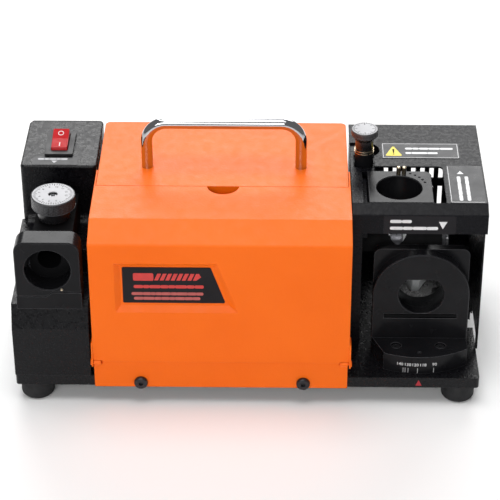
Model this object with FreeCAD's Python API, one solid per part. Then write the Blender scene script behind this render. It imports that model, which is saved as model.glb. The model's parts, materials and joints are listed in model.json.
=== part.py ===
import FreeCAD, Part

import math
import os

# Bench drill bit sharpener: a setting gauge on the left, a motor housing with a storage
# door in the middle, and a grinding bay with two sharpening stations on the right.
#
# Working datum: X=0 at the middle of the base plate, Y=0 at its front edge, Z=0 at its
# underside. save() moves every node to the row's origin, the middle of the footprint at
# the surface that the feet stand on. Millimetres throughout, +Z up, +Y to the rear.

V = FreeCAD.Vector
X_AXIS, Y_AXIS, Z_AXIS = V(1, 0, 0), V(0, 1, 0), V(0, 0, 1)

# ---- driving dimensions -------------------------------------------------------------
PLATE_L, PLATE_D, PLATE_T = 320.0, 148.0, 8.0
FOOT_H, FOOT_R = 14.0, 11.5
FOOT_X, FOOT_Y = 146.5, 11.5
SHEET = 1.2
GAP = 0.3

CHUCK_R = 15.5                      # guide bore that takes the collet chuck
BORE_CHAMFER = 0.5

# setting gauge and switch casting, on the left
CAST_X = (-160.0, -107.6)
HEAD_X = (-158.9, -105.8)
HEAD_FRONT, HEAD_TOP = 83.9, 126.0
LEDGE_LOW, LEDGE_HIGH, LEDGE_STEP = 63.5, 82.0, 45.0
CAST_BACK = 148.0
WALL = 4.0
THROAT_R = 7.0                       # cove where the ledge meets the switch casting
REAR_COVER_T, INLET_Z, FUSE_Z = 2.2, 48.0, 84.0
GAUGE_X, GAUGE_HALF = -133.0, 22.0
GAUGE_TOP, GAUGE_DEPTH = 116.3, 15.0
GAUGE_AXIS_Z = 94.5
PARTING_LEFT, PARTING_RIGHT = 73.4, 76.6
STOP_BORE_R, STOP_R = 8.0, 7.93
STOP_Y = (40.0, 62.0)
DIAL_Y, DIAL_TOP = 53.0, 122.0
DIAL_R, DIAL_FACE_R, DIAL_HUB_R, DIAL_SHAFT_R = 15.15, 14.2, 11.2, 4.0
BODY_TOP = 104.0
SWITCH_X, SWITCH_Y = -133.3, 113.5
BEZEL_HALF_W, BEZEL_HALF_D, BEZEL_T = 9.8, 16.1, 1.8
ROCKER_Y, ROCKER_HALF_W, ROCKER_REACH = 114.5, 5.6, 9.9
ROCKER_CROWN, ROCKER_DISH, ROCKER_TILT = 5.3, 2.5, 11.0

# motor housing, in the middle
SHELL_X = (-104.0, 68.6)
DOOR_X = (-105.3, 69.9)
STRIP_X = (-105.1, 69.0)
DOOR_FRONT, FOLD_Z, FOLD_Y, HOUSING_TOP = -2.6, 116.8, 17.1, 125.3
SEAM_Y, HOUSING_BACK = 59.1, 148.3
STRIP_TOP, DOOR_LOW = 21.0, 21.8
HINGE_Y, HINGE_Z = -1.2, 20.6
LINER_Y, LIP_H = 52.0, 12.0
HANDLE_X, HANDLE_SPAN, HANDLE_Y = -17.1, 106.5, 86.0
HANDLE_R, HANDLE_AXIS_Z, HANDLE_BEND = 4.0, 159.5, 14.0
SCREW_XS, SCREW_Z = (-73.2, 38.6), 3.8
COLLET_SIZES = (3, 4, 5, 6, 7, 8, 9, 10, 11, 12, 13)

# drive line
AXIS_Y, AXIS_Z = 92.0, 64.0
MOTOR_R, MOTOR_X = 35.0, (-62.0, 40.0)
SHAFT_R, BEARING_R, BEARING_W = 6.0, 13.0, 7.0
WHEEL_X0, WHEEL_R, WHEEL_T = 108.0, 38.0, 22.0

# grinding bay, on the right
PARTITION_X = (71.0, 78.0)
POCKET_X = 73.2                      # hollow in the partition for the fine dial and its arm
BAY_FRONT, BAY_BACK = 34.5, 147.0
WALL_X = (159.8, 161.0)
COVER_X = (70.6, 162.3)
COVER_FRONT, COVER_BACK = 33.0, 149.0
COVER_LOW, COVER_FOLD_Z, COVER_FOLD_Y, COVER_TOP = 104.6, 119.3, 41.2, 124.0
WINDOW_X, WINDOW_Y = (78.3, 134.3), (41.5, 90.0)
KEYHOLE_X, KEYHOLE_Y, KEYHOLE_R = 81.5, 112.5, 10.0
VENT_X, VENT_PITCH, VENT_W, VENT_COUNT = 138.7, 6.66, 3.2, 7
VENT_ROWS = ((29.5, 74.8), (81.4, 112.0))
DUST_OUTLET_Y, DUST_OUTLET_TOP = (40.0, 78.0), 18.0
GUARD_R, GUARD_ANGLES, GUARD_END = 40.3, (19.0, 45.0), 134.0
GUARD_NOTCH_R = 6.8
SPLIT_X, SPLIT_Y = (82.0, 126.0), (41.9, 83.7)
SPLIT_BORE_X, SPLIT_BORE_Y = 103.2, 61.5
SPLIT_LOW = 103.5
FINE_X, FINE_Y, FINE_TOP = 80.1, 98.0, 149.3
FINE_R, FINE_STEM_R, FINE_SCREW_R = 9.4, 6.3, 3.0

# swivelling head of the point-angle station
PIVOT_X, PIVOT_Y, PIVOT_R = 118.2, 62.8, 5.0
SECTOR_R, SECTOR_TOP = 58.0, 22.0
ARCH_X, ARCH_Z, ARCH_R = 119.2, 57.4, 33.2
ARCH_Y = (28.0, 36.0)
HEAD_BORE_Z, HEAD_CHORD, SLEEVE_R, SLEEVE_BACK = 58.1, 12.4, 19.0, 49.3
BACK_Y, BACK_TOP = (36.1, 42.0), 90.3

# the row's origin, in the working datum
X_EXTENT = (-PLATE_L / 2, COVER_X[1])
EAR_R = 3.4
FUSE_BACK = 153.4
Y_EXTENT = (HINGE_Y - EAR_R, FUSE_BACK)
ORIGIN = V(sum(X_EXTENT) / 2, sum(Y_EXTENT) / 2, -FOOT_H)


# ---- shape helpers ------------------------------------------------------------------
def block(x, y, z):
    """A box between the low and high values of each axis."""
    return Part.makeBox(x[1] - x[0], y[1] - y[0], z[1] - z[0], V(x[0], y[0], z[0]))


def rod(radius, start, end):
    """A cylinder from one point to another."""
    span = V(*end) - V(*start)
    return Part.makeCylinder(radius, span.Length, V(*start), span)


def cone(radius_1, radius_2, start, end):
    span = V(*end) - V(*start)
    return Part.makeCone(radius_1, radius_2, span.Length, V(*start), span)


def tube(outer, inner, start, end):
    return rod(outer, start, end).cut(rod(inner, start, end))


def fuse(shapes):
    """One solid from several, with the seams between them removed."""
    first, *rest = shapes
    return first.multiFuse(rest).removeSplitter() if rest else first


def cut(shape, tools):
    return shape.cut(tools)


def prism(points, axis, low, high):
    """A polygon in the plane normal to axis, extruded from low to high along it."""
    place = {"X": lambda p: V(low, p[0], p[1]),
             "Y": lambda p: V(p[0], low, p[1]),
             "Z": lambda p: V(p[0], p[1], low)}[axis]
    step = {"X": X_AXIS, "Y": Y_AXIS, "Z": Z_AXIS}[axis] * (high - low)
    corners = [place(p) for p in points]
    return Part.Face(Part.makePolygon(corners + corners[:1])).extrude(step)


def edges_along(shape, axis, test=lambda p: True):
    """The straight edges parallel to axis whose middle passes the test."""
    found = []
    for edge in shape.Edges:
        if not isinstance(edge.Curve, Part.Line):
            continue
        ends = [v.Point for v in edge.Vertexes]
        run = (ends[1] - ends[0]).normalize()
        if abs(run.dot(axis)) > 0.999 and test((ends[0] + ends[1]) * 0.5):
            found.append(edge)
    return found


def round_along(shape, axis, radius, test=lambda p: True):
    return shape.makeFillet(radius, edges_along(shape, axis, test))


def frustum(front, back, front_y, back_y):
    """A solid that tapers from the XZ outline front at front_y to back at back_y."""
    wires = []
    for points, y in ((front, front_y), (back, back_y)):
        corners = [V(x, y, z) for x, z in points]
        wires.append(Part.makePolygon(corners + corners[:1]))
    return Part.makeLoft(wires, True, True)


def button_screw(radius, height, shank_r, head_at, shank_end, socket):
    """A screw with a domed head: head_at is the underside of the head."""
    away = (V(*head_at) - V(*shank_end)).normalize()
    top = V(*head_at) + away * height
    head = Part.makeCylinder(radius, height, V(*head_at), away)
    rim = [e for e in head.Edges if e.Curve.TypeId == "Part::GeomCircle"
           and (e.Curve.Center - top).Length < 1e-6]
    head = head.makeFillet(height * 0.55, rim)
    hexagon = Part.makeCylinder(socket, height * 0.6, top - away * (height * 0.6), away)
    return fuse([head, rod(shank_r, head_at, shank_end)]).cut(hexagon)


def group(shapes):
    return Part.makeCompound(shapes)


# ---- base ---------------------------------------------------------------------------
def base_parts():
    half = PLATE_L / 2
    plate = block((-half, half), (0, PLATE_D), (0, PLATE_T))
    plate = round_along(plate, Z_AXIS, 2.5)
    dust = prism([(134, 61), (half + 4, 61), (half + 4, 80), (156.5, 84), (150, 112), (134, 112)],
                 "Z", -1, PLATE_T + 1)
    dust = round_along(dust, Z_AXIS, 3.0)
    tools = [dust, rod(PIVOT_R, (PIVOT_X, PIVOT_Y, -1), (PIVOT_X, PIVOT_Y, PLATE_T + 1))]
    feet, screws = [], []
    for sx in (-1, 1):
        for y in (FOOT_Y, PLATE_D - FOOT_Y):
            x = sx * FOOT_X
            foot = rod(FOOT_R, (x, y, -FOOT_H), (x, y, 0))
            low_rim = [e for e in foot.Edges if e.BoundBox.ZMax < -FOOT_H + 0.1]
            foot = foot.makeFillet(3.5, low_rim)
            foot = foot.cut([rod(4.6, (x, y, -FOOT_H - 1), (x, y, -6)), rod(2.2, (x, y, -7), (x, y, 1))])
            feet.append(foot)
            screws.append(fuse([rod(4.2, (x, y, -9), (x, y, -6)), rod(2.1, (x, y, -6.5), (x, y, 6))]))
            tools.append(rod(2.1, (x, y, -1), (x, y, 6)))
    for x in SCREW_XS:
        tools.append(rod(2.45, (x, -1, SCREW_Z), (x, 14, SCREW_Z)))
    return {"base_plate": cut(plate, tools), "feet": group(feet), "foot_screws": group(screws)}


# ---- left casting: switch, mains inlet, setting gauge ---------------------------------
def casting_parts():
    slope = [(0, PLATE_T), (0, 46.5), (5.8, LEDGE_LOW), (LEDGE_STEP, LEDGE_LOW),
             (LEDGE_STEP, LEDGE_HIGH), (HEAD_FRONT + 1, LEDGE_HIGH), (HEAD_FRONT + 1, PLATE_T)]
    lower = prism(slope, "X", *CAST_X)
    head = block(HEAD_X, (HEAD_FRONT, CAST_BACK), (PLATE_T, HEAD_TOP))
    head = round_along(head, Z_AXIS, 3.0)
    throat = block((HEAD_X[0] + 3, CAST_X[1]), (HEAD_FRONT - THROAT_R, HEAD_FRONT + 3.2),
                   (LEDGE_HIGH, LEDGE_HIGH + THROAT_R))
    throat = throat.cut(rod(THROAT_R, (HEAD_X[0], HEAD_FRONT - THROAT_R, LEDGE_HIGH + THROAT_R),
                            (CAST_X[1] + 1, HEAD_FRONT - THROAT_R, LEDGE_HIGH + THROAT_R)))
    body = fuse([lower, head, throat])
    top_rim = [e for e in body.Edges if e.BoundBox.ZMin > HEAD_TOP - 0.01]
    body = body.makeFillet(1.5, top_rim)
    inner_x = (HEAD_X[0] + WALL, CAST_X[1] - WALL)
    tools = [
        block(inner_x, (HEAD_FRONT + WALL, CAST_BACK + 1), (PLATE_T + WALL, HEAD_TOP - WALL)),
        block(inner_x, (8, HEAD_FRONT + WALL + 1), (PLATE_T + WALL, LEDGE_LOW - 5.5)),
        block((SWITCH_X - 9, SWITCH_X + 9), (SWITCH_Y - 14.6, SWITCH_Y + 14.6),
              (HEAD_TOP - WALL - 1, HEAD_TOP + 1)),
        rod(8, (CAST_X[1] - WALL - 1, 110, 40), (HEAD_X[1] + 1, 110, 40)),
    ]
    corners = [(x, z) for x in (HEAD_X[0] + 2.6, HEAD_X[1] - 2.6) for z in (14, HEAD_TOP - 6)]
    for x, z in corners:
        tools.append(rod(1.5, (x, CAST_BACK - 10, z), (x, CAST_BACK + 1, z)))
    casting = cut(body, tools)

    cover_y = (CAST_BACK, CAST_BACK + REAR_COVER_T)
    cover = round_along(block((HEAD_X[0] + 0.3, HEAD_X[1] - 0.3), cover_y, (10, HEAD_TOP - 1)), Y_AXIS, 3.0)
    cuts = [block((GAUGE_X - 13.6, GAUGE_X + 13.6), (140, 152), (INLET_Z - 10.1, INLET_Z + 10.1)),
            rod(6.0, (GAUGE_X, 140, FUSE_Z), (GAUGE_X, 152, FUSE_Z))]
    screws = []
    for x, z in corners:
        cuts.append(rod(1.7, (x, 140, z), (x, 152, z)))
        screws.append(button_screw(2.3, 1.6, 1.45, (x, cover_y[1], z), (x, CAST_BACK - 8, z), 0.9))
    cover = cut(cover, cuts)
    return {
        "left_casting": casting,
        "rear_cover": cover,
        "rear_cover_screws": group(screws),
        "power_inlet": inlet(cover_y[1], INLET_Z),
        "fuse_holder": fuse([rod(7.5, (GAUGE_X, cover_y[1], FUSE_Z), (GAUGE_X, FUSE_BACK, FUSE_Z)),
                             rod(5.9, (GAUGE_X, 122, FUSE_Z), (GAUGE_X, FUSE_BACK - 1, FUSE_Z))]).cut(
            block((GAUGE_X - 4, GAUGE_X + 4), (FUSE_BACK - 1.5, FUSE_BACK + 1), (FUSE_Z - 0.8, FUSE_Z + 0.8))),
        "control_board": control_board(),
    }


def inlet(face_y, z):
    """Appliance inlet: flange, open socket and three blades that rise from its floor."""
    flange = block((GAUGE_X - 15.5, GAUGE_X + 15.5), (face_y, face_y + 2.4), (z - 12, z + 12))
    flange = round_along(flange, Y_AXIS, 2.0)
    shell = block((GAUGE_X - 13.4, GAUGE_X + 13.4), (130, face_y + 1), (z - 9.9, z + 9.9))
    socket = block((GAUGE_X - 12, GAUGE_X + 12), (132.5, face_y + 4), (z - 8, z + 8))
    socket = round_along(socket, Y_AXIS, 2.5)
    body = fuse([flange, shell]).cut(socket)
    blades = [block((GAUGE_X + dx - 1, GAUGE_X + dx + 1), (132, 142.5), (z + dz - 2, z + dz + 2))
              for dx, dz in ((-7, -1.5), (7, -1.5), (0, 2.5))]
    return fuse([body] + blades)


def control_board():
    board = block((-150, -113), (100, 101.6), (20, 96))
    relay = block((-146, -130), (101.6, 117), (60, 88))
    capacitor = rod(8, (-124, 101.6, 74), (-124, 122, 74))
    choke = block((-145, -123), (101.6, 119), (26, 48))
    return fuse([board, relay, capacitor, choke])


def switch_parts():
    """A rocker in a flush bezel; its front half is pressed, which is on."""
    bezel = block((SWITCH_X - BEZEL_HALF_W, SWITCH_X + BEZEL_HALF_W),
                  (SWITCH_Y - BEZEL_HALF_D, SWITCH_Y + BEZEL_HALF_D), (HEAD_TOP, HEAD_TOP + BEZEL_T))
    bezel = round_along(bezel, Z_AXIS, 0.8)
    case = block((SWITCH_X - 8.9, SWITCH_X + 8.9), (SWITCH_Y - 14.5, SWITCH_Y + 14.5),
                 (HEAD_TOP - 20, HEAD_TOP + 0.5))
    well = block((SWITCH_X - 6.0, SWITCH_X + 6.0), (ROCKER_Y - 12.0, ROCKER_Y + 12.0),
                 (HEAD_TOP - 16.5, HEAD_TOP + 3))
    frame = fuse([bezel, case]).cut(well)

    reach, crown = ROCKER_REACH, ROCKER_CROWN
    tip_z = crown + reach * math.tan(math.radians(ROCKER_DISH))
    radius = math.hypot(reach, tip_z)
    low = -7.0
    low_y = math.sqrt(radius ** 2 - low ** 2)
    points = [V(0, -reach, tip_z), V(0, 0, crown), V(0, reach, tip_z),
              V(0, low_y, low), V(0, -low_y, low)]
    edges = [
        Part.LineSegment(points[0], points[1]).toShape(),
        Part.LineSegment(points[1], points[2]).toShape(),
        Part.Arc(points[2], V(0, radius, 0), points[3]).toShape(),
        Part.LineSegment(points[3], points[4]).toShape(),
        Part.Arc(points[4], V(0, -radius, 0), points[0]).toShape(),
    ]
    rocker = Part.Face(Part.Wire(edges)).extrude(V(2 * ROCKER_HALF_W, 0, 0))
    rocker.translate(V(-ROCKER_HALF_W, 0, 0))
    rocker.rotate(V(0, 0, 0), X_AXIS, ROCKER_TILT)
    rocker.translate(V(SWITCH_X, ROCKER_Y, HEAD_TOP))
    return {"switch_bezel": frame, "switch_rocker": rocker}


def gauge_parts():
    """Setting gauge: a bored block on a stepped base, with the body that holds the stop."""
    x0, x1 = GAUGE_X - GAUGE_HALF, GAUGE_X + GAUGE_HALF
    step = [(x0, LEDGE_LOW + 0.1), (x1, LEDGE_LOW + 0.1), (x1, PARTING_RIGHT),
            (GAUGE_X + 2.5, PARTING_RIGHT), (GAUGE_X - 1.5, PARTING_LEFT), (x0, PARTING_LEFT)]
    front = prism(step, "Y", 0, GAUGE_DEPTH)
    rear = block((x0 + 4, x1 - 4), (GAUGE_DEPTH - 1, LEDGE_STEP), (LEDGE_LOW + 0.1, PARTING_LEFT))
    base = fuse([front, rear])

    seam = 0.7
    outline = [(x0, PARTING_LEFT + seam), (GAUGE_X - 1.7, PARTING_LEFT + seam),
               (GAUGE_X + 2.3, PARTING_RIGHT + seam), (x1, PARTING_RIGHT + seam), (x1, GAUGE_TOP), (x0, GAUGE_TOP)]
    bore_at = (GAUGE_X, GAUGE_AXIS_Z)
    block_body = prism(outline, "Y", 0, GAUGE_DEPTH)
    block_body = round_along(block_body, Y_AXIS, 8.0, lambda p: p.z > GAUGE_TOP - 1)
    rims = [e for e in block_body.Edges if e.BoundBox.YMax < 0.01 and e.BoundBox.ZMin > PARTING_RIGHT + 1]
    block_body = block_body.makeChamfer(0.6, rims)
    block_body = cut(block_body, [
        rod(CHUCK_R, (bore_at[0], -1, bore_at[1]), (bore_at[0], GAUGE_DEPTH + 1, bore_at[1])),
        cone(CHUCK_R + BORE_CHAMFER, CHUCK_R, (bore_at[0], 0, bore_at[1]), (bore_at[0], BORE_CHAMFER, bore_at[1])),
        rod(1.0, (GAUGE_X + 8.9, -1, 79.4), (GAUGE_X + 8.9, 6, 79.4)),
    ])
    pin = fuse([rod(1.0, (GAUGE_X + 8.9, 0, 79.4), (GAUGE_X + 8.9, 6, 79.4)),
                cone(0.7, 1.0, (GAUGE_X + 8.9, -0.8, 79.4), (GAUGE_X + 8.9, 0, 79.4))])

    body_x = (GAUGE_X - 13.0, GAUGE_X + 14.2)
    low = block(body_x, (GAUGE_DEPTH, LEDGE_STEP), (PARTING_LEFT, BODY_TOP))
    high = block(body_x, (LEDGE_STEP, HEAD_FRONT - 0.1), (LEDGE_HIGH + 0.1, BODY_TOP))
    body = cut(fuse([low, high]), [
        rod(STOP_BORE_R, (GAUGE_X, 0, GAUGE_AXIS_Z), (GAUGE_X, 72, GAUGE_AXIS_Z)),
        rod(DIAL_SHAFT_R + 0.05, (GAUGE_X, DIAL_Y, GAUGE_AXIS_Z), (GAUGE_X, DIAL_Y, BODY_TOP + 1)),
        throat_relief(),
    ])
    stop = rod(STOP_R, (GAUGE_X, STOP_Y[0], GAUGE_AXIS_Z), (GAUGE_X, STOP_Y[1], GAUGE_AXIS_Z))
    notch = cone(4.0, 0.5, (GAUGE_X, STOP_Y[0] - 0.1, GAUGE_AXIS_Z), (GAUGE_X, STOP_Y[0] + 3, GAUGE_AXIS_Z))

    at = lambda z: (GAUGE_X, DIAL_Y, z)
    rim = rod(DIAL_R, at(DIAL_TOP - 9), at(DIAL_TOP))
    rim = rim.makeChamfer(0.5, [e for e in rim.Edges if e.BoundBox.ZLength < 0.01])
    knob = fuse([rim, rod(DIAL_HUB_R, at(BODY_TOP + GAP), at(DIAL_TOP - 8)),
                 rod(DIAL_SHAFT_R, at(BODY_TOP - 1.0), at(BODY_TOP + 2))])
    knob = cut(knob, [rod(DIAL_FACE_R, at(DIAL_TOP - 0.6), at(DIAL_TOP + 1)),
                      rod(3.3, at(DIAL_TOP - 6), at(DIAL_TOP)),
                      rod(1.5, at(BODY_TOP + 4), at(DIAL_TOP - 5))])
    face = tube(DIAL_FACE_R - 0.05, 3.3, at(DIAL_TOP - 0.6), at(DIAL_TOP + 0.1))
    screw = button_screw(3.1, 3.0, 1.45, at(DIAL_TOP - 4), at(BODY_TOP + 5), 1.6)
    return {
        "gauge_base": base, "gauge_block": block_body, "gauge_pin": pin, "dial_body": body,
        "setting_stop": stop.cut(notch), "setting_dial": knob, "setting_dial_face": face,
        "setting_dial_screw": screw,
    }


def throat_relief():
    """Clears the casting's cove where the dial body meets the switch casting."""
    corner = block((GAUGE_X - 30, GAUGE_X + 30), (HEAD_FRONT - THROAT_R, HEAD_FRONT + 1),
                   (LEDGE_HIGH - 1, LEDGE_HIGH + THROAT_R))
    return corner.cut(rod(THROAT_R, (GAUGE_X - 31, HEAD_FRONT - THROAT_R, LEDGE_HIGH + THROAT_R),
                          (GAUGE_X + 31, HEAD_FRONT - THROAT_R, LEDGE_HIGH + THROAT_R)))


# ---- motor housing with its storage door ----------------------------------------------
def housing_parts():
    x0, x1 = SHELL_X
    deck = HOUSING_TOP - SHEET - GAP
    side = [(1, PLATE_T + 0.1), (1, 115.4), (19.6, deck), (SEAM_Y + GAP, deck),
            (SEAM_Y + GAP, HOUSING_TOP), (HOUSING_BACK, HOUSING_TOP), (HOUSING_BACK, PLATE_T + 0.1)]
    outer = prism(side, "X", x0, x1)
    outer = round_along(outer, Z_AXIS, 4.0, lambda p: p.y > HOUSING_BACK - 1)
    inner = block((x0 + SHEET, x1 - SHEET), (-5, HOUSING_BACK - SHEET), (PLATE_T - 1, HOUSING_TOP - SHEET))
    inner = round_along(inner, Z_AXIS, 2.8, lambda p: p.y > HOUSING_BACK - 3)
    open_front = block((x0 + SHEET, x1 - SHEET), (-5, SEAM_Y + GAP), (PLATE_T - 1, HOUSING_TOP + 1))
    tools = [inner, open_front, rod(18, (x1 - 3, AXIS_Y, AXIS_Z), (x1 + 1, AXIS_Y, AXIS_Z)),
             rod(8, (x0 - 1, 110, 40), (x0 + 3, 110, 40))]
    for row_z in (40, 80):
        for i in range(12):
            x = -72 + 10 * i
            tools.append(block((x, x + 3.5), (HOUSING_BACK - 3, HOUSING_BACK + 1), (row_z, row_z + 26)))
    legs = [HANDLE_X + s * HANDLE_SPAN / 2 for s in (-1, 1)]
    for x in legs:
        tools.append(rod(2.5, (x, HANDLE_Y, HOUSING_TOP - 3), (x, HANDLE_Y, HOUSING_TOP + 1)))
    lip = block((x0 + SHEET, x1 - SHEET), (SEAM_Y + GAP, SEAM_Y + GAP + SHEET),
                (HOUSING_TOP - LIP_H, HOUSING_TOP))
    shell = fuse([cut(outer, tools), lip])

    shelf = HOUSING_TOP - LIP_H + 2 * SHEET
    liner = fuse([
        block((x0 + 1.5, x1 - 1.5), (8.5, LINER_Y), (STRIP_TOP - SHEET, STRIP_TOP)),
        block((x0 + 1.5, x1 - 1.5), (LINER_Y - SHEET, LINER_Y), (STRIP_TOP - SHEET, shelf)),
        block((x0 + 1.5, x1 - 1.5), (LINER_Y - SHEET, SEAM_Y + GAP), (shelf - SHEET, shelf)),
    ])
    strip = fuse([block(STRIP_X, (-SHEET, 0), (-GAP, STRIP_TOP)),
                  block((x0 + 1.6, x1 - 1.6), (-SHEET, 8.4), (STRIP_TOP - SHEET, STRIP_TOP))]
                 + [rod(2.2, (x, HINGE_Y, HINGE_Z), (x + 5, HINGE_Y, HINGE_Z))
                    for x in (STRIP_X[0], STRIP_X[1] - 5)])
    strip = cut(strip, [rod(2.7, (x, -2, SCREW_Z), (x, 1, SCREW_Z)) for x in SCREW_XS]
                + [rod(1.2, (x, HINGE_Y, HINGE_Z), (x + 7, HINGE_Y, HINGE_Z))
                   for x in (STRIP_X[0] - 1, STRIP_X[1] - 6)])
    screws = group([button_screw(4.7, 2.7, 2.4, (x, -SHEET, SCREW_Z), (x, 12, SCREW_Z), 1.6)
                    for x in SCREW_XS])
    pins = group([
        fuse([rod(1.15, (out, HINGE_Y, HINGE_Z), (out + s * 6.5, HINGE_Y, HINGE_Z)),
              rod(2.2, (out, HINGE_Y, HINGE_Z), (out - s * 0.6, HINGE_Y, HINGE_Z))])
        for s, out in ((1, DOOR_X[0] - 1.25), (-1, DOOR_X[1] + 1.25))])
    parts = {"housing_shell": shell, "storage_liner": liner, "front_strip": strip, "strip_screws": screws,
             "door_pins": pins, "storage_door": storage_door()}
    parts.update(collet_parts())
    parts.update(handle_parts(legs))
    return parts


def storage_door():
    """Folded sheet: front panel, bevel and top flap, with side flanges and hinge ears."""
    t = SHEET
    skin = prism([(DOOR_FRONT, DOOR_LOW), (DOOR_FRONT, FOLD_Z), (FOLD_Y, HOUSING_TOP),
                  (SEAM_Y, HOUSING_TOP), (SEAM_Y, HOUSING_TOP - t), (FOLD_Y + 0.5 * t, HOUSING_TOP - t),
                  (DOOR_FRONT + t, FOLD_Z - 0.6 * t), (DOOR_FRONT + t, DOOR_LOW)], "X", *DOOR_X)
    flange = [(DOOR_FRONT, DOOR_LOW), (DOOR_FRONT, FOLD_Z), (FOLD_Y, HOUSING_TOP),
              (80, HOUSING_TOP), (80, 118), (24, 118), (9, 110), (9, DOOR_LOW)]
    left = prism(flange, "X", DOOR_X[0], DOOR_X[0] + 1.0)
    right = prism(flange, "X", DOOR_X[1] - 1.0, DOOR_X[1])
    panel = fuse([skin, left, right])
    panel = round_along(panel, X_AXIS, 2.0, lambda p: (p - V(p.x, DOOR_FRONT, FOLD_Z)).Length < 0.1)

    front = [(-88.5, 102.3), (-19.6, 102.3), (-5.6, 62.8), (-88.5, 62.8)]
    floor = [(-84.6, 98.8), (-22.5, 98.8), (-11.8, 67.3), (-84.6, 67.3)]
    depth = 3.0
    grow = lambda points, d: [(x + (d if x > -50 else -d), z + (d if z > 80 else -d)) for x, z in points]
    dish = frustum(grow(front, t), grow(floor, t), DOOR_FRONT + t / 2, DOOR_FRONT + depth + t)
    hollow = frustum(front, floor, DOOR_FRONT, DOOR_FRONT + depth)
    mouth = prism(front, "Y", DOOR_FRONT - 1, DOOR_FRONT + 0.001)
    panel = fuse([panel, dish]).cut([hollow, mouth])

    ear_outline = [(HINGE_Y - EAR_R, HINGE_Z), (HINGE_Y + EAR_R, HINGE_Z), (7, 30), (7, 37), (DOOR_FRONT, 37)]
    ears = []
    for x in (DOOR_X[0] - 1.1, DOOR_X[1]):
        ears.append(prism(ear_outline, "X", x, x + 1.1))
        ears.append(rod(EAR_R, (x, HINGE_Y, HINGE_Z), (x + 1.1, HINGE_Y, HINGE_Z)))
    tools = [rod(11, (HANDLE_X, SEAM_Y + 0.8, 100), (HANDLE_X, SEAM_Y + 0.8, 130))]
    for x in (DOOR_X[0], DOOR_X[1] - 6.3):
        tools.append(rod(2.6, (x, HINGE_Y, HINGE_Z), (x + 6.3, HINGE_Y, HINGE_Z)))
    tools.append(rod(1.22, (DOOR_X[0] - 5, HINGE_Y, HINGE_Z), (DOOR_X[1] + 5, HINGE_Y, HINGE_Z)))
    return fuse([panel.cut(tools[:-1])] + ears).cut(tools[-1])


def collet_parts():
    """A two-row tray of collets, one for each drill size."""
    front_row = [(-75 + 24 * i, 18.5) for i in range(6)]
    back_row = [(-63 + 24 * i, 38.0) for i in range(5)]
    places = front_row + back_row
    tray = round_along(block((-92, 62), (5, 50.2), (STRIP_TOP + 0.1, 36)), Z_AXIS, 3.0)
    tray = cut(tray, [rod(9.0, (x, y, STRIP_TOP + 3), (x, y, 37)) for x, y in places])
    collets = []
    for (x, y), size in zip(places, COLLET_SIZES):
        at = lambda z: (x, y, z)
        z0 = STRIP_TOP + 3.1
        body = fuse([cone(7.2, 8.9, at(z0), at(z0 + 12)), cone(8.9, 10.3, at(z0 + 12), at(z0 + 24)),
                     rod(9.0, at(z0 + 24), at(z0 + 26)), cone(10.3, 8.6, at(z0 + 26), at(z0 + 31))])
        slits = [block((x - 12, x + 12), (y - 0.4, y + 0.4), (z0 + 9, z0 + 32)),
                 block((x - 0.4, x + 0.4), (y - 12, y + 12), (z0 + 9, z0 + 32))]
        collets.append(cut(body, [rod(size / 2, at(z0 - 1), at(z0 + 32))] + slits))
    return {"collet_tray": tray, "collets": group(collets)}


def handle_parts(legs):
    z0, z1, r = HOUSING_TOP, HANDLE_AXIS_Z, HANDLE_BEND
    y = HANDLE_Y
    corner = r * (1 - math.sqrt(0.5))
    left, right = legs
    path = Part.Wire([
        Part.LineSegment(V(left, y, z0), V(left, y, z1 - r)).toShape(),
        Part.Arc(V(left, y, z1 - r), V(left + corner, y, z1 - corner), V(left + r, y, z1)).toShape(),
        Part.LineSegment(V(left + r, y, z1), V(right - r, y, z1)).toShape(),
        Part.Arc(V(right - r, y, z1), V(right - corner, y, z1 - corner), V(right, y, z1 - r)).toShape(),
        Part.LineSegment(V(right, y, z1 - r), V(right, y, z0)).toShape(),
    ])
    section = Part.Wire(Part.makeCircle(HANDLE_R, V(left, y, z0), Z_AXIS))
    bar = path.makePipeShell([section], True, False)
    holes = [rod(2.45, (x, y, z0 - 1), (x, y, z0 + 12)) for x in legs]
    under = HOUSING_TOP - SHEET
    screws = [button_screw(4.6, 2.6, 2.4, (x, y, under), (x, y, z0 + 11), 1.6) for x in legs]
    return {"carry_handle": bar.cut(holes), "handle_screws": group(screws)}


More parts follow.
